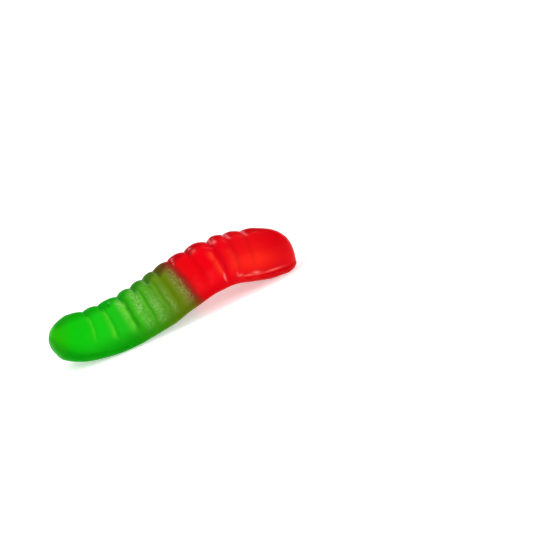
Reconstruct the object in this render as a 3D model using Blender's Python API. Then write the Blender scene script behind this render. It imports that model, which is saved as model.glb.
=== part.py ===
"""A small gummy worm, moulded in one piece: green tail, red head, ten ribs over its back.

Its flat underside is the open face of the mould. The worm lies as it cooled, in a lazy S:
the tail curls up off the table, the belly and the head end touch it.
Metres, +Z up, +X from the tail to the head, origin at the middle of the footprint on the table.
"""

import bisect
import math

import bmesh
import bpy

MM = 0.001

# Driving sizes in millimetres. A station is a distance along the spine from the tail's tip.
LENGTH = 48.0
SPINE_ABOVE_UNDERSIDE = 4.4
TAIL_ROUNDING = 3.0
HEAD_ROUNDING = 9.5
SIDEWAYS_SWAY = -0.7
FLATTENED_BY_ITS_WEIGHT = 0.12
BELLY_SHARE = 0.625

# Length of each rib and depth of the groove after it, from the tail to the head.
FIRST_GROOVE = 6.0
FIRST_GROOVE_DEPTH = 0.45
RIBS = (
    (3.4, 0.45),
    (3.9, 0.65),
    (2.9, 0.55),
    (2.8, 0.55),
    (2.6, 0.40),
    (3.7, 0.45),
    (3.2, 0.60),
    (4.0, 0.90),
    (2.6, 0.55),
    (2.9, 0.40),
)
END_LOBE = 5.0
RIB_ROUNDNESS = 0.6
GROOVES_START = 0.04
GROOVES_FULL = 0.35

# (station, value) pairs: the spine's slope in degrees, then the section's sizes.
SPINE_SLOPES = (
    (0.0, -36.0),
    (6.0, -21.0),
    (12.0, -4.0),
    (24.0, 6.0),
    (31.0, -4.0),
    (38.0, -22.0),
    (48.0, -15.0),
)
HALF_WIDTHS = ((0.0, 4.2), (6.0, 4.5), (20.0, 5.2), (34.0, 5.2), (48.0, 4.8))
HEIGHTS = ((0.0, 6.7), (6.0, 8.2), (20.0, 8.9), (34.0, 8.7), (42.0, 9.3), (48.0, 10.7))
RIM_HEIGHTS = ((0.0, 3.8), (4.0, 2.6), (12.0, 1.4), (40.0, 1.4), (48.0, 2.4))

# How full the section is: 2 is an ellipse, less is a pointed dome.
DOME_POINTEDNESS = ((0.0, 2.0), (8.0, 1.75), (24.0, 1.5), (38.0, 1.6), (48.0, 2.0))
UNDERSIDE_SQUARENESS = 2.5
UNDERSIDE_DEPTH = 1.17
UNDERSIDE_TAIL_ROUNDING = 5.0

# Fineness of the mesh.
POINTS_AROUND = 44
RINGS_IN_A_RIB = 7
RINGS_IN_TAIL = 12
RINGS_IN_HEAD = 16
CLOSER_AT_RIM = 0.35
SPINE_STEPS = 480
LEVELLING_TURNS = 8


def smooth_through(pairs, station):
    """The value at a station of a smooth curve through the (station, value) pairs."""
    places = [place for place, _ in pairs]
    values = [value for _, value in pairs]

    def slope(index):
        before = max(index - 1, 0)
        after = min(index + 1, len(pairs) - 1)
        return (values[after] - values[before]) / (places[after] - places[before])

    first = min(max(bisect.bisect_right(places, station) - 1, 0), len(pairs) - 2)
    span = places[first + 1] - places[first]
    t = min(max((station - places[first]) / span, 0.0), 1.0)
    return (
        values[first] * (1 + 2 * t) * (1 - t) ** 2
        + span * slope(first) * t * (1 - t) ** 2
        + values[first + 1] * t * t * (3 - 2 * t)
        + span * slope(first + 1) * t * t * (t - 1)
    )


def smooth_step(low, high, value):
    t = min(max((value - low) / (high - low), 0.0), 1.0)
    return t * t * (3 - 2 * t)


def side_view(tilt):
    """Points (x, z, slope) along the spine, seen from the side, with every slope turned by tilt."""
    step = LENGTH / SPINE_STEPS
    x = z = 0.0
    points = []
    for index in range(SPINE_STEPS + 1):
        slope = math.radians(smooth_through(SPINE_SLOPES, index * step) + tilt)
        points.append((x, z, slope))
        x += step * math.cos(slope)
        z += step * math.sin(slope)
    return points


def underside_point(point, station):
    x, z, slope = point
    depth = SPINE_ABOVE_UNDERSIDE - max(section_bottom(station), 0.0)
    return x + depth * math.sin(slope), z - depth * math.cos(slope)


def resting_spine():
    """The spine turned and lowered so that the belly and the head end lie on the table."""
    tilt = 0.0
    step = LENGTH / SPINE_STEPS
    middle = int(SPINE_STEPS * BELLY_SHARE)
    for _ in range(LEVELLING_TURNS):
        spine = side_view(tilt)
        under = [underside_point(point, index * step) for index, point in enumerate(spine)]
        belly = min(under[:middle], key=lambda point: point[1])
        head = min(under[middle:], key=lambda point: point[1])
        tilt -= math.degrees(math.atan2(head[1] - belly[1], head[0] - belly[0]))
    lowest = min(belly[1], head[1]) + FLATTENED_BY_ITS_WEIGHT
    return [(x, z - lowest, slope) for x, z, slope in spine]


def rounded_end(station, tail_rounding):
    """How far the section has opened out: 0 at either tip, 1 past the rounded ends."""
    from_tail = min(station / tail_rounding, 1.0)
    from_head = min((LENGTH - station) / HEAD_ROUNDING, 1.0)
    return math.sqrt((1 - (1 - from_tail) ** 2) * (1 - (1 - from_head) ** 2))


def underside_depth(station):
    """How far the middle of the underside lies below the rim. It is rounder than the dome at the tail."""
    rim = smooth_through(RIM_HEIGHTS, station)
    return UNDERSIDE_DEPTH * rim * rounded_end(station, UNDERSIDE_TAIL_ROUNDING)


def section_bottom(station):
    return smooth_through(RIM_HEIGHTS, station) - underside_depth(station)


def grooves():
    """(station, depth) of each groove."""
    found = [(FIRST_GROOVE, FIRST_GROOVE_DEPTH)]
    for length, depth in RIBS:
        found.append((found[-1][0] + length, depth))
    return found


GROOVES = grooves()
LOBES = [END_LOBE, *[length for length, _ in RIBS], END_LOBE]


def rounded_groove(distance, depth, lobe):
    """How deep a groove still is this far into the lobe beside it."""
    if distance > lobe / 2:
        return 0.0
    return depth * (1 - math.sin(math.pi * distance / lobe) ** RIB_ROUNDNESS)


def groove_depth(station):
    """How deep the surface lies below the lobes' crests."""
    after = bisect.bisect_right([place for place, _ in GROOVES], station)
    beside = GROOVES[max(after - 1, 0) : after + 1]
    return max(rounded_groove(abs(station - place), depth, LOBES[after]) for place, depth in beside)


def section_point(station, angle):
    """(y, height above the underside) of the skin. The angle is 0 at the rim and 90 degrees on top."""
    opened = rounded_end(station, TAIL_ROUNDING)
    rim = smooth_through(RIM_HEIGHTS, station)
    half_width = smooth_through(HALF_WIDTHS, station) * opened
    side = math.copysign(1.0, math.cos(angle))
    out = abs(math.cos(angle))
    up = abs(math.sin(angle))
    if math.sin(angle) >= 0:
        pointedness = smooth_through(DOME_POINTEDNESS, station)
        rise = up ** (2 / pointedness)
        groove = groove_depth(station) * smooth_step(GROOVES_START, GROOVES_FULL, rise)
        dome = (smooth_through(HEIGHTS, station) - rim) * opened
        return side * (half_width - groove) * out, rim + (dome - groove) * rise
    power = 2 / UNDERSIDE_SQUARENESS
    height = rim - underside_depth(station) * up**power
    return side * half_width * out**power, max(height, 0.0)


def ring_stations():
    """Stations of the mesh's rings: close together round the ends, and one in every groove."""
    first = GROOVES[0][0]
    last = GROOVES[-1][0]
    stations = [0.0]
    for index in range(1, RINGS_IN_TAIL):
        turn = 0.5 * math.pi * index / RINGS_IN_TAIL
        stations.append(first * (1 - math.cos(turn)))
    for (start, _), (end, _) in zip(GROOVES, GROOVES[1:]):
        for index in range(RINGS_IN_A_RIB):
            along = 0.5 - 0.5 * math.cos(math.pi * index / RINGS_IN_A_RIB)
            stations.append(start + (end - start) * along)
    for index in range(RINGS_IN_HEAD):
        turn = 0.5 * math.pi * index / RINGS_IN_HEAD
        stations.append(last + (LENGTH - last) * math.sin(turn))
    return [*stations, LENGTH]


def skin_point(spine, station, angle):
    """A point of the skin in millimetres, as the worm lies."""
    place = min(station / LENGTH * SPINE_STEPS, SPINE_STEPS - 1e-6)
    first = int(place)
    t = place - first
    x, z, slope = (a + (b - a) * t for a, b in zip(spine[first], spine[first + 1]))
    y, height = section_point(station, angle)
    lift = height - SPINE_ABOVE_UNDERSIDE
    sway = SIDEWAYS_SWAY * math.sin(2 * math.pi * station / LENGTH)
    return x - lift * math.sin(slope), y + sway, max(z + lift * math.cos(slope), 0.0)


def worm_mesh():
    """A sphere's rings and meridians, moved onto the worm's sections."""
    spine = resting_spine()
    stations = ring_stations()
    mesh = bmesh.new()
    bmesh.ops.create_uvsphere(
        mesh, u_segments=POINTS_AROUND, v_segments=len(stations) - 1, radius=1.0
    )
    for vertex in mesh.verts:
        ring = round(math.acos(max(-1.0, min(1.0, -vertex.co.z))) / math.pi * (len(stations) - 1))
        angle = math.atan2(vertex.co.y, vertex.co.x)
        angle -= 0.5 * CLOSER_AT_RIM * math.sin(2 * angle)
        vertex.co = skin_point(spine, stations[ring], angle)
        vertex.co *= MM
    low = [min(vertex.co[axis] for vertex in mesh.verts) for axis in range(2)]
    high = [max(vertex.co[axis] for vertex in mesh.verts) for axis in range(2)]
    for vertex in mesh.verts:
        for axis in range(2):
            vertex.co[axis] -= 0.5 * (low[axis] + high[axis])
    return mesh


def gummy_material():
    """Glossy gelatine, green at the tail, olive and brown where the colours met, red at the head."""
    material = bpy.data.materials.new("gummy_green_and_red")
    material.use_nodes = True
    nodes = material.node_tree.nodes
    links = material.node_tree.links
    shader = nodes["Principled BSDF"]
    shader.inputs["Roughness"].default_value = 0.25
    shader.inputs["Metallic"].default_value = 0.0
    shader.inputs["Subsurface Weight"].default_value = 0.6
    shader.inputs["Subsurface Radius"].default_value = (1.0, 1.0, 1.0)
    shader.inputs["Subsurface Scale"].default_value = 3 * MM
    place = nodes.new("ShaderNodeTexCoord")
    along = nodes.new("ShaderNodeSeparateXYZ")
    blend = nodes.new("ShaderNodeMapRange")
    colours = nodes.new("ShaderNodeValToRGB")
    blend.inputs["From Min"].default_value = -6 * MM
    blend.inputs["From Max"].default_value = 4 * MM
    ramp = colours.color_ramp
    ramp.elements[0].color = (0.01, 0.55, 0.01, 1.0)
    ramp.elements[1].color = (0.80, 0.005, 0.01, 1.0)
    ramp.elements[1].position = 0.9
    ramp.elements.new(0.55).color = (0.16, 0.25, 0.01, 1.0)
    ramp.elements.new(0.75).color = (0.25, 0.05, 0.03, 1.0)
    links.new(place.outputs["Object"], along.inputs["Vector"])
    links.new(along.outputs["X"], blend.inputs["Value"])
    links.new(blend.outputs["Result"], colours.inputs["Fac"])
    links.new(colours.outputs["Color"], shader.inputs["Base Color"])
    return material


def clear_scene():
    for obj in list(bpy.data.objects):
        bpy.data.objects.remove(obj, do_unlink=True)


def build():
    clear_scene()
    collection = bpy.data.collections.new("gummy_worm")
    bpy.context.scene.collection.children.link(collection)
    shape = worm_mesh()
    data = bpy.data.meshes.new("gummy_worm")
    shape.to_mesh(data)
    shape.free()
    data.shade_smooth()
    data.materials.append(gummy_material())
    collection.objects.link(bpy.data.objects.new("gummy_worm", data))


build()
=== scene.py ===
"""Looks of the small gummy worm: fine skin, gelatine material, white table, soft light, camera."""

import bisect
import math

import bpy
import numpy as np
from mathutils import Matrix, Vector, noise


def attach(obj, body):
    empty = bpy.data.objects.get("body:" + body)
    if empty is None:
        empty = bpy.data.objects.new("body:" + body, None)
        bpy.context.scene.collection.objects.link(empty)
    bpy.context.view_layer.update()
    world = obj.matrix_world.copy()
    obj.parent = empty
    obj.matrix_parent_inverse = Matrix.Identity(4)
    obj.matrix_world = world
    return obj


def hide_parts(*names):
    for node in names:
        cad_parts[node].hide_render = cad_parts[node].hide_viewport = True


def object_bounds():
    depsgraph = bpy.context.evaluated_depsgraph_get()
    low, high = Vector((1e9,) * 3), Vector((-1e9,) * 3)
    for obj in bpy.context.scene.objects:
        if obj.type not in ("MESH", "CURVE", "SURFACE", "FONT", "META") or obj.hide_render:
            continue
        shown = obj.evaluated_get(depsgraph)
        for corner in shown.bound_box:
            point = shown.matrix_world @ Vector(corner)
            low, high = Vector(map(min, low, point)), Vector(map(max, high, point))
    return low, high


MM = 0.001

# Form in millimetres, the same as the solid's. A station is a distance along the spine from the
# tail. A rise is a height on the dome, 0 at its rim and 1 at its crown.
LENGTH = 48.0
SPINE_ABOVE_UNDERSIDE = 4.4
TAIL_ROUNDING = 3.0
HEAD_ROUNDING = 9.5
SIDEWAYS_SWAY = -0.7
FLATTENED_BY_ITS_WEIGHT = 0.12
# Share of the spine, from the tail, that has the belly's lowest point. The rest has the head's.
BELLY_SHARE = 0.625

# Length of each rib and depth of the groove after it, from the tail to the head.
FIRST_GROOVE = 6.0
FIRST_GROOVE_DEPTH = 0.45
RIBS = (
    (3.4, 0.45),
    (3.9, 0.65),
    (2.9, 0.55),
    (2.8, 0.55),
    (2.6, 0.40),
    (3.7, 0.45),
    (3.2, 0.60),
    (4.0, 0.90),
    (2.6, 0.55),
    (2.9, 0.40),
)
END_LOBE = 5.0
RIB_ROUNDNESS = 0.6
# Rises between which the grooves come up out of the rim.
GROOVES_START = 0.04
GROOVES_FULL = 0.35

# (station, value) pairs: the spine's slope in degrees, then the section's sizes.
SPINE_SLOPES = (
    (0.0, -36.0),
    (6.0, -21.0),
    (12.0, -4.0),
    (24.0, 6.0),
    (31.0, -4.0),
    (38.0, -22.0),
    (48.0, -15.0),
)
HALF_WIDTHS = ((0.0, 4.2), (6.0, 4.5), (20.0, 5.2), (34.0, 5.2), (48.0, 4.8))
HEIGHTS = ((0.0, 6.7), (6.0, 8.2), (20.0, 8.9), (34.0, 8.7), (42.0, 9.3), (48.0, 10.7))
RIM_HEIGHTS = ((0.0, 3.8), (4.0, 2.6), (12.0, 1.4), (40.0, 1.4), (48.0, 2.4))
DOME_POINTEDNESS = ((0.0, 2.0), (8.0, 1.75), (24.0, 1.5), (38.0, 1.6), (48.0, 2.0))
UNDERSIDE_SQUARENESS = 2.5
UNDERSIDE_DEPTH = 1.17
UNDERSIDE_TAIL_ROUNDING = 5.0

# Fine form that the solid leaves out. First the moulding ledge round the rim, as (station,
# millimetres) pairs for how far it stands out and how far above the rim it lies.
LEDGE_STANDS_OUT = (
    (0.0, 0.02),
    (20.0, 0.05),
    (33.0, 0.10),
    (36.0, 0.28),
    (42.0, 0.26),
    (44.5, 0.15),
    (46.0, 0.05),
    (48.0, 0.02),
)
LEDGE_ABOVE_RIM = ((0.0, 0.10), (33.0, 0.10), (38.0, 0.30), (44.0, 0.50), (48.0, 0.65))
LEDGE_HEIGHT = 0.30
# Uneven swellings and small dimples of the whole skin: their height and their size across.
UNEVENNESS = 0.10
UNEVENNESS_SIZE = 3.2
DIMPLES = 0.025
DIMPLE_SIZE = 0.9
# How far the grooves wander to and fro, and how fast the wandering turns around and along the worm.
GROOVE_WANDER = 0.16
WANDER_AROUND = 7.3
WANDER_ALONG = 0.31
# Share of each groove's depth that is left on the flank, and the rises between which it deepens.
FLANK_SHARES = (0.6, 0.6, 0.8, 0.9, 0.9, 0.7, 0.8, 0.30, 0.50, 0.35, 0.25)
GROOVES_DEEPEN = (0.80, 0.97)
# Rounding of the grooves' bottoms on the flank, and the rises between which it fades in.
FLANK_SOFTNESS = 0.2
GROOVES_SOFTEN = (0.95, 0.80)
# The grooves lean towards the head as they come down, and are in full lean this far below the crown.
GROOVE_LEAN = 0.45
FULL_LEAN_BELOW_CROWN = 0.6
# (station, millimetres): how far the grooves lie towards the head at the crown.
CROWN_SHIFTS = (
    (0.0, 0.0),
    (9.0, 0.0),
    (13.3, 0.4),
    (16.5, 0.6),
    (21.8, 0.6),
    (25.2, 0.05),
    (28.0, 0.0),
    (48.0, 0.0),
)
# (station, millimetres): how much fuller the dome is than the solid's.
FULLER = (
    (0.0, 0.0),
    (6.0, 0.10),
    (10.0, 0.24),
    (35.0, 0.22),
    (41.0, 0.18),
    (45.4, 0.50),
    (47.4, 0.55),
    (48.0, 0.0),
)
# (station, millimetres): how much lower the rim lies at the head's tip.
HEAD_RIM_DROPS = ((0.0, 0.0), (43.5, 0.0), (46.0, 0.25), (48.0, 0.30))
# A lip under the tail, with the stations between which it begins and fades.
TAIL_LIP = 0.18
TAIL_LIP_FROM = (1.5, 1.9)
TAIL_LIP_FADES = (4.0, 8.0)
# The dimple of a bubble on the near side: (station, rise, length, height in rise, depth).
BUBBLE = (11.3, 0.945, 0.26, 0.022, 0.05)

# What the material paints, in millimetres along the spine. Painted light streaks in the grooves, and
# lines of painted shade beside them: (station, width, strength, rise of the upper end). They fade in
# over LINES_FROM, in rise, and out over LINE_END to either side of their upper end.
PAINTED_LIGHT_STREAKS = (
    (6.15, 0.16, 0.60, 0.90),
    (9.55, 0.22, 0.80, 0.90),
    (13.05, 0.34, 1.00, 0.89),
    (16.6, 0.16, 0.45, 0.88),
    (19.7, 0.22, 0.20, 0.85),
    (31.45, 0.24, 0.80, 0.78),
    (34.5, 0.40, 0.30, 0.70),
)
# A streak is this many times wider on its side towards the tail.
LIGHT_STREAK_FADES_BACK = 2.4
SHADES = (
    (6.6, 0.16, 0.20, 0.92),
    (10.1, 0.20, 0.40, 0.92),
    (13.75, 0.36, 0.90, 0.92),
    (17.0, 0.22, 0.55, 0.92),
    (20.0, 0.26, 0.45, 0.92),
    (22.0, 0.30, 0.30, 0.92),
    (28.6, 0.35, 0.15, 0.92),
    (32.6, 0.35, 0.20, 0.92),
    (35.2, 0.35, 0.20, 0.92),
    (38.05, 0.35, 0.20, 0.92),
)
LINE_END = 0.06
LINES_FROM = (0.15, 0.35)
# Frosted stretches, rough and grainy and with a painted pale sheen: (start, end, strength, rise where
# it is strongest, reach up and down). Their ends fade over FROST_EDGE, and they begin between the rises
# FROST_FROM.
FROST_EDGE = 0.5
FROST_FROM = (0.03, 0.15)
FROSTS = (
    (12.1, 13.2, 0.75, 0.80, 0.35),
    (14.7, 16.4, 0.85, 0.62, 0.45),
    (17.3, 19.3, 0.72, 0.40, 0.40),
    (20.3, 21.0, 0.65, 0.38, 0.35),
    (22.7, 24.5, 0.48, 0.50, 0.50),
)
# Painted highlights, as pale lines down from the crown just past a groove: (station, lean, rise of the
# lower end, strength). They fade out over CREST_END, where 1 is their lower end.
CREST_HIGHLIGHTS = (
    (13.45, 0.2, 0.96, 0.35),
    (16.35, 0.6, 0.90, 0.90),
    (19.15, 0.9, 0.87, 0.90),
    (21.75, 0.7, 0.93, 0.55),
    (32.7, 0.15, 0.93, 0.70),
    (35.3, 0.25, 0.91, 0.80),
    (38.2, 0.3, 0.91, 0.90),
)
CREST_WIDTHS = ((0.0, 0.13), (24.0, 0.13), (35.0, 0.20), (48.0, 0.24))
CREST_END = (1.3, 0.7)
# The bubble's painted highlight and painted shade: (station, rise, length, height in rise, strength).
BUBBLE_HIGHLIGHT = (11.5, 0.965, 0.18, 0.014, 1.0)
BUBBLE_SHADE = (11.05, 0.925, 0.24, 0.020, 1.2)
# Painted shade on the crown, darker than the flank: (station, rise) pairs for where it starts, and how
# much further up it is full. It is narrower towards the head end of each rib, and fades out this near
# to either tip.
CROWN_SHADE_STARTS = (
    (0.0, 0.68),
    (6.0, 0.75),
    (12.0, 0.83),
    (16.0, 0.87),
    (20.0, 0.86),
    (23.0, 0.84),
    (26.0, 0.86),
    (48.0, 0.87),
)
CROWN_SHADE_EDGES = ((0.0, 0.32), (8.0, 0.20), (14.0, 0.10), (26.0, 0.09), (34.0, 0.12), (48.0, 0.14))
CROWN_SHADE_NARROWS = 0.08
TIP_FADE = 0.9
# Painted shade round the rim and on the underside: (station, rise) pairs for where it starts and where
# it is full. A rise below 0 lies on the underside.
RIM_SHADE_STARTS = (
    (0.0, 0.20),
    (5.0, 0.26),
    (9.0, 0.40),
    (14.0, 0.42),
    (20.0, 0.36),
    (28.0, 0.24),
    (48.0, 0.24),
)
RIM_SHADE_FULLS = (
    (0.0, -0.45),
    (5.0, -0.40),
    (9.0, -0.15),
    (14.0, -0.10),
    (20.0, -0.12),
    (48.0, -0.15),
)
# Spots where the skin is wet, then painted highlights on and beside them, and a painted glow of light
# inside the head: (station, rise, length, height in rise, strength).
WET_SPOTS = (
    (25.8, 0.96, 0.30, 0.04, 1.0),
    (29.3, 0.93, 0.60, 0.06, 1.0),
    (33.1, 0.93, 0.35, 0.05, 1.0),
    (31.75, 0.16, 0.20, 0.09, 1.0),
    (35.0, 0.08, 0.7, 0.035, 0.9),
    (38.3, 0.070, 1.6, 0.03, 1.0),
    (41.5, 0.075, 2.0, 0.025, 0.8),
)
# Painted highlights: pale spots at the glints, on the ledge and at the end of a streak.
PAINTED_HIGHLIGHT_SPOTS = (
    (31.7, 0.17, 0.17, 0.08, 1.0),
    (25.75, 0.968, 0.14, 0.016, 0.6),
    (29.55, 0.93, 0.32, 0.022, 0.45),
    (33.2, 0.93, 0.20, 0.020, 0.7),
    (34.4, 0.135, 0.22, 0.035, 0.4),
    (35.0, 0.080, 0.5, 0.020, 0.7),
    (38.2, 0.085, 0.7, 0.022, 1.2),
    (36.6, 0.055, 1.0, 0.012, 0.7),
    (41.5, 0.075, 1.9, 0.010, 0.6),
)
PAINTED_GLOW_SPOT = (38.2, 0.37, 3.7, 0.19, 0.85)

# Fineness of the skin: points in a ring, millimetres between rings, steps of the spine, and how
# many times the spine is turned until it lies level.
POINTS_AROUND = 176
RING_SPACING = 0.12
SPINE_STEPS = 480
LEVELLING_TURNS = 8

# Colour of the gelatine along the worm, as (station, linear colour): on the flank, then darker copies
# that are painted shade on the crown and round the rim.
FLANK_COLOURS = (
    (0.0, (0.018, 0.42, 0.001)),
    (2.5, (0.005, 0.54, 0.004)),
    (8.0, (0.010, 0.56, 0.008)),
    (12.0, (0.016, 0.50, 0.010)),
    (15.0, (0.055, 0.44, 0.010)),
    (18.0, (0.075, 0.35, 0.010)),
    (20.5, (0.13, 0.26, 0.010)),
    (22.3, (0.15, 0.235, 0.004)),
    (23.6, (0.19, 0.13, 0.012)),
    (24.6, (0.27, 0.030, 0.012)),
    (25.2, (0.44, 0.012, 0.010)),
    (26.0, (0.74, 0.003, 0.006)),
    (29.0, (0.80, 0.001, 0.006)),
    (32.0, (0.76, 0.001, 0.008)),
    (38.0, (0.76, 0.005, 0.008)),
    (43.0, (0.66, 0.001, 0.005)),
    (48.0, (0.56, 0.001, 0.002)),
)
SHADED_CROWN_COLOURS = (
    (0.0, (0.004, 0.30, 0.002)),
    (12.0, (0.002, 0.33, 0.003)),
    (16.0, (0.020, 0.23, 0.006)),
    (19.0, (0.050, 0.18, 0.010)),
    (22.0, (0.075, 0.072, 0.006)),
    (23.6, (0.11, 0.038, 0.006)),
    (24.7, (0.20, 0.018, 0.008)),
    (25.4, (0.45, 0.002, 0.005)),
    (48.0, (0.55, 0.001, 0.004)),
)
SHADED_RIM_COLOURS = (
    (0.0, (0.010, 0.30, 0.002)),
    (2.0, (0.002, 0.27, 0.002)),
    (5.0, (0.002, 0.28, 0.002)),
    (9.0, (0.002, 0.28, 0.002)),
    (12.0, (0.002, 0.25, 0.001)),
    (16.0, (0.024, 0.22, 0.002)),
    (20.0, (0.070, 0.15, 0.001)),
    (23.3, (0.10, 0.12, 0.002)),
    (25.3, (0.18, 0.02, 0.004)),
    (26.2, (0.48, 0.001, 0.003)),
    (36.0, (0.54, 0.001, 0.003)),
    (48.0, (0.44, 0.001, 0.002)),
)
# Colours of the painted light streaks and painted highlight lines along the worm, then of what is the
# same all along it: the frost's painted sheen, painted highlights, the painted glow and painted shade.
LIGHT_STREAK_COLOURS = (
    (0.0, (0.16, 0.68, 0.03)),
    (24.0, (0.16, 0.68, 0.03)),
    (27.0, (0.95, 0.075, 0.03)),
    (48.0, (0.95, 0.075, 0.03)),
)
CREST_HIGHLIGHT_COLOURS = (
    (0.0, (0.12, 0.55, 0.24)),
    (22.0, (0.18, 0.42, 0.16)),
    (25.0, (0.95, 0.20, 0.22)),
    (48.0, (0.95, 0.20, 0.22)),
)
FROST_SHEEN_COLOUR = (0.34, 0.60, 0.18, 1.0)
PAINTED_HIGHLIGHT_COLOUR = (1.0, 0.22, 0.18, 1.0)
PAINTED_GLOW_COLOUR = (0.98, 0.030, 0.010, 1.0)
SHADE_COLOUR = (0.3, 0.5, 0.3, 1.0)

# How strongly each painted glow, light streak, shade and highlight is laid over the colour below it.
# The streaks are cloudy, from weak to strong.
PAINTED_GLOW_STRENGTH = 0.65
LIGHT_STREAK_STRENGTHS = (0.35, 0.75)
SHADE_STRENGTH = 0.8
CREST_HIGHLIGHT_STRENGTH = 0.7
PAINTED_HIGHLIGHT_STRENGTH = 0.8

# Noise textures, as (scale per metre, detail), and the range of each that is used.
STREAK_CLOUDS = (700.0, 2.0)
STREAK_CLOUD_RANGE = (0.3, 0.65)
FROST_GRAIN = (3600.0, 4.0)
FROST_GRAIN_RANGE = (0.29, 0.74)
FROST_PATCHES = (520.0, 2.0)
FROST_PATCH_RANGE = (0.18, 0.62)
RIPPLES = (1400.0, 3.0)

# The gelatine, matt up to one station, and glossy from another. The depth that light soaks in and
# the height of the bump are in millimetres.
GELATINE_IOR = 1.45
GELATINE_SPECULAR = 0.02
LIGHT_SOAKS_IN = 2.5
MATT_UP_TO = 22.0
GLOSSY_FROM = 26.0
MATT_ROUGHNESS = 0.35
GLOSSY_ROUGHNESS = 0.13
FROST_ROUGHNESS = 0.4
WET_ROUGHNESS = 0.06
WET_IOR = 1.8
# Wetness of the glossy stretch, and the rises between which it begins.
RED_GLOSS = 0.025
RED_GLOSS_RISES = (0.05, 0.2)
# Wetness at grazing angles on the matt and the glossy stretch, the Layer Weight values between which
# it comes up, and the rises between which it begins.
GRAZING_GLOSS = (0.18, 0.80)
GRAZING_FROM = 0.62
GRAZING_FULL = 0.80
GRAZING_GLOSS_RISES = (0.0, 0.15)
BUMP_STRENGTH = 0.5
BUMP_HEIGHT = 0.03

# View of the photograph, measured on its 533 by 533 pixels: degrees, and millimetres of distance.
# The nearest and furthest that the camera sees are in metres.
PICTURE_SIDE = 533
WORM_CENTRE_IN_PICTURE = (172.1, 288.6)
CAMERA_AZIMUTH = -18.55
CAMERA_ELEVATION = 17.0
CAMERA_ROLL = -18.84
CAMERA_DISTANCE = 261.0
LENS = 100.0
SENSOR = 36.0
CAMERA_SEES_FROM = 0.01
CAMERA_SEES_TO = 20.0

# Studio, in metres: how far off the lights stand, the softboxes' size, and each softbox's name,
# azimuth, elevation and radiance. They light the worm, and the glint boxes show in its gloss.
LIGHT_DISTANCE = 0.8
SOFT_BOX_WIDTH = 0.55
SOFT_BOX_HEIGHT = 0.9
SOFT_BOXES = (
    ("left_soft_box", -84.0, 45.0, 3.0),
    ("right_soft_box", 36.0, 23.0, 2.9),
    ("back_soft_box", 160.0, 50.0, 1.0),
)
# Each glint box's name, azimuth, elevation, side and radiance.
GLINT_BOXES = (
    ("left_glint", -92.0, 57.0, 0.26, 6.0),
    ("front_glint", 14.0, 20.0, 0.24, 2.0),
    ("back_left_glint", -170.0, 50.0, 0.2, 3.5),
    ("back_right_glint", 110.0, 50.0, 0.2, 3.5),
)
# Light from the surroundings: at the horizon and from above, with the heights between which it
# changes. A height is the sine of the elevation. Then the horizon as it shows in the gloss.
HORIZON_LIGHT = 0.2
WORLD_LIGHT = 0.15
LIGHT_CHANGES = (0.03, 0.2)
HORIZON_GLOSS = 0.9
GLOSS_FADES = (0.15, 0.50)
# The table glows, more so far out, where it meets the white backdrop.
TABLE_HALF_SIDE = 3.0
TABLE_WHITE = (0.95, 0.95, 0.95, 1.0)
TABLE_ROUGHNESS = 0.9
TABLE_GLOWS = (0.45, 1.0)
TABLE_GLOW_CHANGES = (0.05, 0.25)
WHITE = (1.0, 1.0, 1.0, 1.0)


def smooth_through(pairs, station):
    """The value at a station of a smooth curve through the (station, value) pairs."""
    places = [place for place, _ in pairs]
    values = [value for _, value in pairs]

    def slope(index):
        before = max(index - 1, 0)
        after = min(index + 1, len(pairs) - 1)
        return (values[after] - values[before]) / (places[after] - places[before])

    first = min(max(bisect.bisect_right(places, station) - 1, 0), len(pairs) - 2)
    span = places[first + 1] - places[first]
    t = min(max((station - places[first]) / span, 0.0), 1.0)
    return (
        values[first] * (1 + 2 * t) * (1 - t) ** 2
        + span * slope(first) * t * (1 - t) ** 2
        + values[first + 1] * t * t * (3 - 2 * t)
        + span * slope(first + 1) * t * t * (t - 1)
    )


def smooth_step(low, high, value):
    """0 below low, 1 above high, smooth between; the other way round where low is above high."""
    t = np.clip((value - low) / (high - low), 0.0, 1.0)
    return t * t * (3 - 2 * t)


def rounded_end(station, tail_rounding):
    """How far the section has opened out: 0 at either tip, 1 past the rounded ends."""
    from_tail = min(station / tail_rounding, 1.0)
    from_head = min((LENGTH - station) / HEAD_ROUNDING, 1.0)
    return math.sqrt((1 - (1 - from_tail) ** 2) * (1 - (1 - from_head) ** 2))


def underside_depth(station):
    rim = smooth_through(RIM_HEIGHTS, station)
    return UNDERSIDE_DEPTH * rim * rounded_end(station, UNDERSIDE_TAIL_ROUNDING)


def section_bottom(station):
    return smooth_through(RIM_HEIGHTS, station) - underside_depth(station)


def side_view(tilt):
    """Points (x, z, slope) along the spine, seen from the side, with every slope turned by tilt."""
    step = LENGTH / SPINE_STEPS
    x = z = 0.0
    points = []
    for index in range(SPINE_STEPS + 1):
        slope = math.radians(smooth_through(SPINE_SLOPES, index * step) + tilt)
        points.append((x, z, slope))
        x += step * math.cos(slope)
        z += step * math.sin(slope)
    return points


def underside_point(point, station):
    x, z, slope = point
    depth = SPINE_ABOVE_UNDERSIDE - max(section_bottom(station), 0.0)
    return x + depth * math.sin(slope), z - depth * math.cos(slope)


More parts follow.
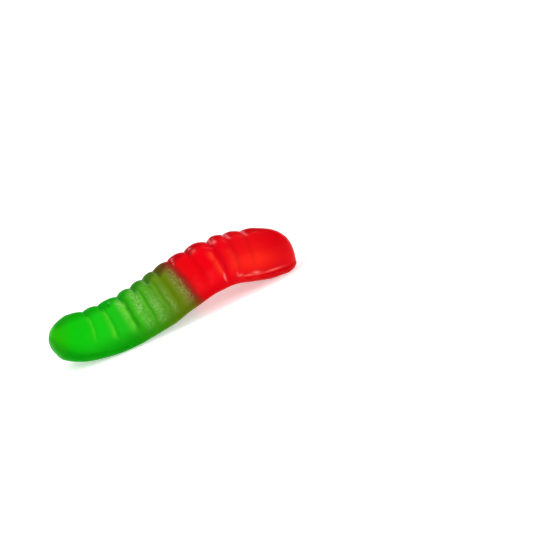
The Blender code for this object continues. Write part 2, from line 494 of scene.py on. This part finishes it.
def resting_spine():
    """The spine turned and lowered so that the belly and the head end lie on the table."""
    tilt = 0.0
    step = LENGTH / SPINE_STEPS
    middle = int(SPINE_STEPS * BELLY_SHARE)
    for _ in range(LEVELLING_TURNS):
        spine = side_view(tilt)
        under = [underside_point(point, index * step) for index, point in enumerate(spine)]
        belly = min(under[:middle], key=lambda point: point[1])
        head = min(under[middle:], key=lambda point: point[1])
        tilt -= math.degrees(math.atan2(head[1] - belly[1], head[0] - belly[0]))
    lowest = min(belly[1], head[1]) + FLATTENED_BY_ITS_WEIGHT
    return np.array([(x, z - lowest, slope) for x, z, slope in spine])


def grooves():
    """(station, depth) of each groove."""
    found = [(FIRST_GROOVE, FIRST_GROOVE_DEPTH)]
    for length, depth in RIBS:
        found.append((found[-1][0] + length, depth))
    return found


GROOVES = grooves()
GROOVE_STATIONS = np.array([place for place, _ in GROOVES])
GROOVE_DEPTHS = np.array([depth for _, depth in GROOVES])
LOBES = np.array([END_LOBE, *[length for length, _ in RIBS], END_LOBE])


def groove_depth(stations, soften):
    """How deep the skin lies below the lobes' crests; soften rounds the bottoms of the grooves."""
    after = np.searchsorted(GROOVE_STATIONS, stations, side="right")
    deepest = np.zeros(len(stations))
    for beside in (np.clip(after - 1, 0, None), np.clip(after, None, len(GROOVES) - 1)):
        away = np.hypot(stations - GROOVE_STATIONS[beside], soften)
        into = np.clip(away / LOBES[after], 0.0, 0.5)
        depth = GROOVE_DEPTHS[beside] * (1 - np.sin(math.pi * into) ** RIB_ROUNDNESS)
        deepest = np.maximum(deepest, depth)
    return deepest


def lines(stations, rise, marks, fades_back=1.0):
    """The strongest of soft lines across the worm given as (station, width, strength, upper end)."""
    found = []
    for place, width, strength, upper_end in marks:
        away = (stations - place) / width
        away = np.where(away < 0, away / fades_back, away)
        below = smooth_step(upper_end + LINE_END, upper_end - LINE_END, rise)
        found.append(strength * np.exp(-(away**2)) * below)
    return np.max(found, axis=0)


def crests(stations, rise, marks):
    """The strongest of thin lines that lean as they come down from the crown."""
    found = []
    for place, lean, lower_end, strength in marks:
        down = (1 - rise) / (1 - lower_end)
        away = (stations - place - lean * down**2) / smooth_through(CREST_WIDTHS, place)
        found.append(strength * np.exp(-(away**2)) * smooth_step(*CREST_END, down))
    return np.max(found, axis=0)


def stretches(stations, rise, marks):
    """The strongest of soft-edged stretches given as (start, end, strength, rise, reach)."""
    found = []
    for start, end, strength, level, reach in marks:
        after = smooth_step(start - FROST_EDGE, start + FROST_EDGE, stations)
        before = smooth_step(end + FROST_EDGE, end - FROST_EDGE, stations)
        found.append(strength * after * before * np.exp(-(((rise - level) / reach) ** 2)))
    return np.max(found, axis=0)


def lobe_place(stations):
    """Where each station lies in its lobe: 0 at the groove before it, 1 at the groove after."""
    bounds = np.array([0.0, *GROOVE_STATIONS, LENGTH])
    lobe = np.clip(np.searchsorted(bounds, stations, side="right") - 1, 0, len(bounds) - 2)
    return (stations - bounds[lobe]) / (bounds[lobe + 1] - bounds[lobe])


def spots(stations, rise, marks):
    """The strongest of soft round spots given as (station, rise, length, height, strength)."""
    found = []
    for place, level, length, height, strength in marks:
        away = ((stations - place) / length) ** 2 + ((rise - level) / height) ** 2
        found.append(strength * np.exp(-away))
    return np.max(found, axis=0)


def on_near_side(angles):
    """Which points of a ring lie on the dome's side that the photograph shows."""
    return (np.sin(angles) >= 0) * (np.cos(angles) < 0)


def groove_places(angles, rise, station):
    """The station that counts at each point of a ring, for the grooves lean and wander."""
    wander = np.array(
        [
            noise.noise((WANDER_AROUND * c, WANDER_AROUND * s, WANDER_ALONG * station))
            for c, s in zip(np.cos(angles), np.sin(angles))
        ]
    )
    down = smooth_step(0.0, FULL_LEAN_BELOW_CROWN, 1 - rise)
    lean = GROOVE_LEAN * down + smooth_through(CROWN_SHIFTS, station) * (1 - down)
    return np.clip(station + GROOVE_WANDER * wander - lean, 0.0, LENGTH)


def groove_relief(angles, rise, wandered, station):
    """How deep the grooves and the bubble's dimple lie at each point of a ring."""
    share = np.interp(wandered, GROOVE_STATIONS, FLANK_SHARES)
    relief = share + (1 - share) * smooth_step(*GROOVES_DEEPEN, rise)
    soften = FLANK_SOFTNESS * smooth_step(*GROOVES_SOFTEN, rise)
    groove = groove_depth(wandered, soften) * relief * smooth_step(GROOVES_START, GROOVES_FULL, rise)
    return groove + on_near_side(angles) * spots(station, rise, [BUBBLE])


def section(angles, rise, wandered, station):
    """Place to the side, and height above the underside's line, of each point of a ring."""
    up = np.abs(np.sin(angles))
    out = np.abs(np.cos(angles))
    on_dome = np.sin(angles) >= 0
    opened = rounded_end(station, TAIL_ROUNDING)
    rim = smooth_through(RIM_HEIGHTS, station) - smooth_through(HEAD_RIM_DROPS, station)
    half_width = smooth_through(HALF_WIDTHS, station) * opened
    groove = groove_relief(angles, rise, wandered, station)
    dome = (smooth_through(HEIGHTS, station) - rim) * opened + smooth_through(FULLER, station)
    above_ledge = (dome * rise - smooth_through(LEDGE_ABOVE_RIM, station)) / LEDGE_HEIGHT
    ledge = smooth_through(LEDGE_STANDS_OUT, station) * opened * np.exp(-(above_ledge**2))
    power = 2 / UNDERSIDE_SQUARENESS
    lip = TAIL_LIP * smooth_step(*TAIL_LIP_FROM, station) * (1 - smooth_step(*TAIL_LIP_FADES, station))
    underside = np.maximum(rim - underside_depth(station) * up**power - lip * up, 0.0)
    away = np.where(on_dome, (half_width - groove + ledge) * out, (half_width + ledge) * out**power)
    height = np.where(on_dome, rim + (dome - groove) * rise, underside)
    return np.sign(np.cos(angles)) * away, height


def along_spine(spine, station, y, height):
    """A section's points, set across the bent spine at this station."""
    place = station / LENGTH * SPINE_STEPS
    columns = np.arange(SPINE_STEPS + 1)
    x, z, slope = (np.interp(place, columns, spine[:, column]) for column in range(3))
    lift = height - SPINE_ABOVE_UNDERSIDE
    sway = SIDEWAYS_SWAY * math.sin(2 * math.pi * station / LENGTH)
    return np.stack([x - lift * math.sin(slope), y + sway, z + lift * math.cos(slope)], axis=1)


def painted(angles, rise, wandered, station):
    """What the material needs to know of each point of a ring, by the attribute's name: mostly where it
    paints light and shade.
    """
    on_dome = np.sin(angles) >= 0
    near_side = on_near_side(angles)
    signed_rise = np.where(on_dome, rise, -np.abs(np.sin(angles)))
    # Painted shade: darker round the rim and on the underside.
    rim_shade_start = smooth_through(RIM_SHADE_STARTS, station)
    rim_shade_full = smooth_through(RIM_SHADE_FULLS, station)
    # Painted shade: the crown is darker towards its top.
    crown_shade_start = smooth_through(CROWN_SHADE_STARTS, station) + CROWN_SHADE_NARROWS * lobe_place(wandered)
    crown_shade_full = crown_shade_start + smooth_through(CROWN_SHADE_EDGES, station)
    from_tips = smooth_step(0.0, TIP_FADE, min(station, LENGTH - station))
    crown = on_dome * smooth_step(crown_shade_start, crown_shade_full, rise) * from_tips
    on_flank = on_dome * smooth_step(*LINES_FROM, rise)
    frost_and_sheen = smooth_step(*FROST_FROM, signed_rise) * stretches(wandered, rise, FROSTS)
    shade = on_flank * lines(wandered, rise, SHADES)
    # Painted highlights along the crests, and on the bubble's light side.
    crest_highlight = on_dome * crests(station, rise, CREST_HIGHLIGHTS)
    return {
        "station": wandered,
        "rise": signed_rise,
        "rim": smooth_step(rim_shade_start, rim_shade_full, signed_rise),
        "crown": crown,
        # Painted light streaks in the grooves.
        "streak": on_flank * lines(wandered, rise, PAINTED_LIGHT_STREAKS, LIGHT_STREAK_FADES_BACK),
        "shade": np.maximum(shade, near_side * spots(station, rise, [BUBBLE_SHADE])),
        "frost_and_sheen": (1 - crown) * frost_and_sheen,
        "crest_highlight": np.maximum(crest_highlight, near_side * spots(station, rise, [BUBBLE_HIGHLIGHT])),
        "wet": on_dome * spots(wandered, rise, WET_SPOTS),
        # A painted glow of light inside the head.
        "glow": on_dome * spots(wandered, rise, [PAINTED_GLOW_SPOT]),
        # Painted highlights at the glints and on the ledge.
        "painted_highlight": on_dome * spots(wandered, rise, PAINTED_HIGHLIGHT_SPOTS),
    }


def ring(spine, station):
    """Points of one ring of the skin in millimetres, and what the material needs to know of each."""
    angles = np.linspace(0.0, 2 * math.pi, POINTS_AROUND, endpoint=False)
    rise = np.abs(np.sin(angles)) ** (2 / smooth_through(DOME_POINTEDNESS, station))
    wandered = groove_places(angles, rise, station)
    y, height = section(angles, rise, wandered, station)
    return along_spine(spine, station, y, height), painted(angles, rise, wandered, station)


def ring_stations():
    """Stations of the rings, evenly spaced, with one in every groove and closer round the ends."""
    ends = [0.0, *GROOVE_STATIONS, LENGTH]
    stations = []
    for index, (start, end) in enumerate(zip(ends, ends[1:])):
        count = int(round((end - start) / RING_SPACING))
        steps = np.arange(count) / count
        if index == 0:
            steps = 1 - np.cos(0.5 * math.pi * steps)
        elif index == len(ends) - 2:
            steps = np.sin(0.5 * math.pi * steps)
        stations.extend(start + (end - start) * steps)
    return stations


def skin_faces(ring_count):
    """Faces from ring to ring and round the tips: point 0 is the tail's tip, the last the head's."""
    faces = []
    last_ring = 1 + (ring_count - 1) * POINTS_AROUND
    head_tip = last_ring + POINTS_AROUND
    for index in range(POINTS_AROUND):
        beside = (index + 1) % POINTS_AROUND
        faces.append((0, 1 + beside, 1 + index))
        faces.append((head_tip, last_ring + index, last_ring + beside))
        for start in range(1, last_ring, POINTS_AROUND):
            after = start + POINTS_AROUND
            faces.append((start + index, start + beside, after + beside, after + index))
    return faces


def worm_skin():
    """The worm's skin as one mesh object, with what its material needs to know as attributes."""
    spine = resting_spine()
    tail_tip, _ = ring(spine, 0.0)
    head_tip, _ = ring(spine, LENGTH)
    rings = [ring(spine, station) for station in ring_stations()[1:]]
    points = np.concatenate([tail_tip[:1], *[points for points, _ in rings], head_tip[:1]])
    points[:, :2] -= 0.5 * (points[:, :2].min(axis=0) + points[:, :2].max(axis=0))
    mesh = bpy.data.meshes.new("gummy_worm_skin")
    mesh.from_pydata((points * MM).tolist(), [], skin_faces(len(rings)))
    mesh.update()
    for name in rings[0][1]:
        values = [facts[name] for _, facts in rings]
        values = np.concatenate([values[0][:1], *values, values[-1][:1]])
        mesh.attributes.new(name, "FLOAT", "POINT").data.foreach_set("value", values.astype(np.float32))
    roughen(mesh)
    mesh.shade_smooth()
    skin = bpy.data.objects.new("gummy_worm_skin", mesh)
    bpy.context.scene.collection.objects.link(skin)
    return skin


def roughen(mesh):
    """Moves the skin in and out a little, as starch moulds leave it, and lays the underside flat."""
    count = len(mesh.vertices)
    points = np.empty(count * 3)
    normals = np.empty(count * 3)
    mesh.vertices.foreach_get("co", points)
    mesh.vertex_normals.foreach_get("vector", normals)
    points = points.reshape(-1, 3) / MM
    normals = normals.reshape(-1, 3)
    swell = np.array([noise.noise(Vector(point) / UNEVENNESS_SIZE) for point in points])
    pits = np.array([noise.noise(Vector(point) / DIMPLE_SIZE) for point in points])
    points += normals * (UNEVENNESS * swell + DIMPLES * pits)[:, None]
    points[:, 2] = np.maximum(points[:, 2], 0.0)
    mesh.vertices.foreach_set("co", (points * MM).ravel())
    mesh.update()


def feed(tree, socket, value):
    """Links the value to the socket where it is a socket itself, and otherwise sets it there."""
    if isinstance(value, bpy.types.NodeSocket):
        tree.links.new(value, socket)
    else:
        socket.default_value = value


def attribute(tree, name):
    node = tree.nodes.new("ShaderNodeAttribute")
    node.attribute_name = name
    return node.outputs["Fac"]


def maths(tree, operation, first, second):
    node = tree.nodes.new("ShaderNodeMath")
    node.operation = operation
    feed(tree, node.inputs[0], first)
    feed(tree, node.inputs[1], second)
    return node.outputs["Value"]


def mixed(tree, blend, amount, first, second):
    """The first colour mixed with the second by an amount that is a number or a socket."""
    node = tree.nodes.new("ShaderNodeMix")
    node.data_type = "RGBA"
    node.blend_type = blend
    node.clamp_factor = True
    colours = [socket for socket in node.inputs if socket.type == "RGBA"]
    feed(tree, node.inputs["Factor"], amount)
    feed(tree, colours[0], first)
    feed(tree, colours[1], second)
    return next(socket for socket in node.outputs if socket.type == "RGBA")


def ranged(tree, value, taken, given, shape="LINEAR"):
    """The value with the range (low, high) that is taken stretched to the range that is given."""
    node = tree.nodes.new("ShaderNodeMapRange")
    node.interpolation_type = shape
    node.inputs["From Min"].default_value, node.inputs["From Max"].default_value = taken
    node.inputs["To Min"].default_value, node.inputs["To Max"].default_value = given
    tree.links.new(value, node.inputs["Value"])
    return node.outputs["Result"]


def between(tree, value, low, high):
    """0 below low, 1 above high, smooth between."""
    return ranged(tree, value, (low, high), (0.0, 1.0), "SMOOTHSTEP")


def noise_texture(tree, scale, detail):
    node = tree.nodes.new("ShaderNodeTexNoise")
    node.inputs["Scale"].default_value = scale
    node.inputs["Detail"].default_value = detail
    place = tree.nodes.new("ShaderNodeTexCoord")
    tree.links.new(place.outputs["Object"], node.inputs["Vector"])
    return node.outputs["Fac"]


def along_worm(tree, colours):
    """The colour at each station, from (station, colour) pairs."""
    node = tree.nodes.new("ShaderNodeValToRGB")
    stops = node.color_ramp.elements
    stops[1].position = colours[-1][0] / LENGTH
    for station, _ in colours[1:-1]:
        stops.new(station / LENGTH)
    for stop, (_, colour) in zip(stops, colours):
        stop.color = (*colour, 1.0)
    tree.links.new(maths(tree, "DIVIDE", attribute(tree, "station"), LENGTH), node.inputs["Fac"])
    return node.outputs["Color"]


def strength_of(tree, name, strength):
    """How strongly the attribute of this name paints."""
    return maths(tree, "MULTIPLY", attribute(tree, name), strength)


def frosting(tree):
    """How frosted the skin is: grainy, in loose patches. It roughens and bumps the skin, and lays a
    painted pale sheen over its colour.
    """
    grain = between(tree, noise_texture(tree, *FROST_GRAIN), *FROST_GRAIN_RANGE)
    patches = between(tree, noise_texture(tree, *FROST_PATCHES), *FROST_PATCH_RANGE)
    return maths(tree, "MULTIPLY", strength_of(tree, "frost_and_sheen", grain), patches)


def gelatine_colour(tree, frost_and_sheen):
    """The colours along the worm, and over them painted light and shade, one layer after another: the
    shaded crown and rim, a glow, light streaks, the frost's sheen, shade lines and highlights.
    """
    # The flank's colour, darkened on the crown as painted shade.
    flank = along_worm(tree, FLANK_COLOURS)
    crown = along_worm(tree, SHADED_CROWN_COLOURS)
    colour = mixed(tree, "MIX", attribute(tree, "crown"), flank, crown)
    clouds = noise_texture(tree, *STREAK_CLOUDS)
    clouds = ranged(tree, clouds, STREAK_CLOUD_RANGE, LIGHT_STREAK_STRENGTHS)
    layers = (
        ("MIX", attribute(tree, "rim"), along_worm(tree, SHADED_RIM_COLOURS)),
        ("MIX", strength_of(tree, "glow", PAINTED_GLOW_STRENGTH), PAINTED_GLOW_COLOUR),
        ("MIX", strength_of(tree, "streak", clouds), along_worm(tree, LIGHT_STREAK_COLOURS)),
        ("MIX", frost_and_sheen, FROST_SHEEN_COLOUR),
        ("MULTIPLY", strength_of(tree, "shade", SHADE_STRENGTH), SHADE_COLOUR),
        ("MIX", strength_of(tree, "crest_highlight", CREST_HIGHLIGHT_STRENGTH), along_worm(tree, CREST_HIGHLIGHT_COLOURS)),
        ("MIX", strength_of(tree, "painted_highlight", PAINTED_HIGHLIGHT_STRENGTH), PAINTED_HIGHLIGHT_COLOUR),
    )
    for blend, amount, layer in layers:
        colour = mixed(tree, blend, amount, colour, layer)
    return colour


def gelatine_roughness(tree, glossy, frost_and_sheen):
    """Matt at the tail, smooth at the head, and rougher where it is frosted."""
    roughness = ranged(tree, glossy, (0.0, 1.0), (MATT_ROUGHNESS, GLOSSY_ROUGHNESS))
    return maths(tree, "ADD", roughness, maths(tree, "MULTIPLY", frost_and_sheen, FROST_ROUGHNESS))


def gelatine_wetness(tree, glossy):
    """Wet on the glossy stretch, on the wet spots and at grazing angles."""
    rise = attribute(tree, "rise")
    stretch = maths(tree, "MULTIPLY", glossy, RED_GLOSS)
    stretch = maths(tree, "MULTIPLY", stretch, between(tree, rise, *RED_GLOSS_RISES))
    facing = tree.nodes.new("ShaderNodeLayerWeight").outputs["Facing"]
    grazing = between(tree, facing, GRAZING_FROM, GRAZING_FULL)
    grazing = maths(tree, "MULTIPLY", grazing, ranged(tree, glossy, (0.0, 1.0), GRAZING_GLOSS))
    grazing = maths(tree, "MULTIPLY", grazing, between(tree, rise, *GRAZING_GLOSS_RISES))
    wetness = maths(tree, "MAXIMUM", stretch, attribute(tree, "wet"))
    return maths(tree, "MAXIMUM", wetness, grazing)


def gelatine_bump(tree, frost_and_sheen):
    """Fine ripples, and the grain of the frosted stretches."""
    bump = tree.nodes.new("ShaderNodeBump")
    bump.inputs["Strength"].default_value = BUMP_STRENGTH
    bump.inputs["Distance"].default_value = BUMP_HEIGHT * MM
    feed(tree, bump.inputs["Height"], maths(tree, "ADD", noise_texture(tree, *RIPPLES), frost_and_sheen))
    return bump.outputs["Normal"]


def gummy_material():
    """Glossy, cloudy gelatine, green at the tail, brown where the colours met, red at the head."""
    material = bpy.data.materials.new("gummy_skin_green_and_red")
    material.use_nodes = True
    tree = material.node_tree
    inputs = tree.nodes["Principled BSDF"].inputs
    inputs["IOR"].default_value = GELATINE_IOR
    inputs["Specular IOR Level"].default_value = GELATINE_SPECULAR
    inputs["Subsurface Weight"].default_value = 1.0
    inputs["Subsurface Radius"].default_value = (1.0, 1.0, 1.0)
    inputs["Subsurface Scale"].default_value = LIGHT_SOAKS_IN * MM
    inputs["Coat Roughness"].default_value = WET_ROUGHNESS
    inputs["Coat IOR"].default_value = WET_IOR
    frost_and_sheen = frosting(tree)
    glossy = between(tree, attribute(tree, "station"), MATT_UP_TO, GLOSSY_FROM)
    bump = gelatine_bump(tree, frost_and_sheen)
    feed(tree, inputs["Base Color"], gelatine_colour(tree, frost_and_sheen))
    feed(tree, inputs["Roughness"], gelatine_roughness(tree, glossy, frost_and_sheen))
    feed(tree, inputs["Coat Weight"], gelatine_wetness(tree, glossy))
    feed(tree, inputs["Normal"], bump)
    feed(tree, inputs["Coat Normal"], bump)
    return material


def white_paper():
    """Matt white that glows a little round the worm and more further out."""
    material = bpy.data.materials.new("white_paper")
    material.use_nodes = True
    tree = material.node_tree
    inputs = tree.nodes["Principled BSDF"].inputs
    inputs["Base Color"].default_value = TABLE_WHITE
    inputs["Emission Color"].default_value = WHITE
    inputs["Roughness"].default_value = TABLE_ROUGHNESS
    inputs["Specular IOR Level"].default_value = 0.0
    place = tree.nodes.new("ShaderNodeTexCoord")
    distance = tree.nodes.new("ShaderNodeVectorMath")
    distance.operation = "LENGTH"
    tree.links.new(place.outputs["Object"], distance.inputs[0])
    glow = ranged(tree, distance.outputs["Value"], TABLE_GLOW_CHANGES, TABLE_GLOWS)
    feed(tree, inputs["Emission Strength"], glow)
    return material


def white_table():
    mesh = bpy.data.meshes.new("white_table")
    half = TABLE_HALF_SIDE
    corners = [(-half, -half, 0.0), (half, -half, 0.0), (half, half, 0.0), (-half, half, 0.0)]
    mesh.from_pydata(corners, [], [(0, 1, 2, 3)])
    table = bpy.data.objects.new("white_table", mesh)
    bpy.context.scene.collection.objects.link(table)
    mesh.materials.append(white_paper())


def studio_world():
    """White for the camera, dim light for the worm, and a bright horizon for its gloss."""
    world = bpy.data.worlds.new("studio")
    world.use_nodes = True
    tree = world.node_tree
    place = tree.nodes.new("ShaderNodeTexCoord")
    axes = tree.nodes.new("ShaderNodeSeparateXYZ")
    tree.links.new(place.outputs["Generated"], axes.inputs["Vector"])
    height = axes.outputs["Z"]
    seen_by = tree.nodes.new("ShaderNodeLightPath").outputs
    light = ranged(tree, height, LIGHT_CHANGES, (HORIZON_LIGHT, WORLD_LIGHT), "SMOOTHSTEP")
    light = maths(tree, "MAXIMUM", light, seen_by["Is Camera Ray"])
    gloss = ranged(tree, height, GLOSS_FADES, (HORIZON_GLOSS, 0.0), "SMOOTHSTEP")
    gloss = maths(tree, "MULTIPLY", gloss, seen_by["Is Glossy Ray"])
    background = tree.nodes["Background"].inputs
    background["Color"].default_value = WHITE
    feed(tree, background["Strength"], maths(tree, "MAXIMUM", light, gloss))
    bpy.context.scene.world = world


def direction(azimuth, elevation):
    """Unit vector from the worm outwards. Azimuth 0 is -Y and 90 is +X, in degrees."""
    a = math.radians(azimuth)
    e = math.radians(elevation)
    return Vector((math.sin(a) * math.cos(e), -math.cos(a) * math.cos(e), math.sin(e)))


def light_box(name, azimuth, elevation, width, height, radiance):
    """A lit rectangle of this width and height in metres, facing the worm."""
    light = bpy.data.lights.new(name, "AREA")
    light.shape = "RECTANGLE"
    light.size = width
    light.size_y = height
    light.energy = radiance * math.pi * width * height
    lamp = bpy.data.objects.new(name, light)
    bpy.context.scene.collection.objects.link(lamp)
    back = direction(azimuth, elevation)
    lamp.location = back * LIGHT_DISTANCE
    lamp.rotation_mode = "QUATERNION"
    lamp.rotation_quaternion = (-back).to_track_quat("-Z", "Y")
    return lamp


def studio_lights():
    """Softboxes that light the worm but don't show in its gloss, and glint boxes that do."""
    for name, azimuth, elevation, radiance in SOFT_BOXES:
        lamp = light_box(name, azimuth, elevation, SOFT_BOX_WIDTH, SOFT_BOX_HEIGHT, radiance)
        lamp.visible_glossy = False
    for name, azimuth, elevation, side, radiance in GLINT_BOXES:
        lamp = light_box(name, azimuth, elevation, side, side, radiance)
        lamp.visible_diffuse = False
        lamp.visible_transmission = False


def photo_camera(low, high):
    """The photograph's camera: the same side, height, roll and framing."""
    camera = bpy.data.cameras.new("photo_camera")
    camera.lens = LENS
    camera.sensor_width = SENSOR
    camera.clip_start = CAMERA_SEES_FROM
    camera.clip_end = CAMERA_SEES_TO
    back = direction(CAMERA_AZIMUTH, CAMERA_ELEVATION)
    turn = (-back).to_track_quat("-Z", "Y").to_matrix()
    turn = turn @ Matrix.Rotation(math.radians(CAMERA_ROLL), 3, "Z")
    pixels_per_mm = LENS / SENSOR * PICTURE_SIDE / CAMERA_DISTANCE
    right = (WORM_CENTRE_IN_PICTURE[0] - PICTURE_SIDE / 2) / pixels_per_mm
    up = (PICTURE_SIDE / 2 - WORM_CENTRE_IN_PICTURE[1]) / pixels_per_mm
    offset = turn @ Vector((-right, -up, CAMERA_DISTANCE)) * MM
    viewer = bpy.data.objects.new("photo_camera", camera)
    bpy.context.scene.collection.objects.link(viewer)
    viewer.matrix_world = Matrix.Translation((low + high) / 2 + offset) @ turn.to_4x4()
    bpy.context.scene.camera = viewer


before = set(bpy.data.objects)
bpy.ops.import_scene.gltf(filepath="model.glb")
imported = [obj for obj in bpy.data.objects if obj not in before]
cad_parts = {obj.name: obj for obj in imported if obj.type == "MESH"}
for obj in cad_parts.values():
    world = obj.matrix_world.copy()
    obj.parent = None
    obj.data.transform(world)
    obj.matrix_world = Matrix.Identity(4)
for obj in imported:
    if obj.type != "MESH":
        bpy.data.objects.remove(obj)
cad_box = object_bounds()
bpy.context.scene.view_settings.view_transform = "Standard"
studio_world()
white_table()
studio_lights()
photo_camera(*cad_box)
skin = worm_skin()
skin.data.materials.append(gummy_material())
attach(skin, "root")
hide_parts("gummy_worm")
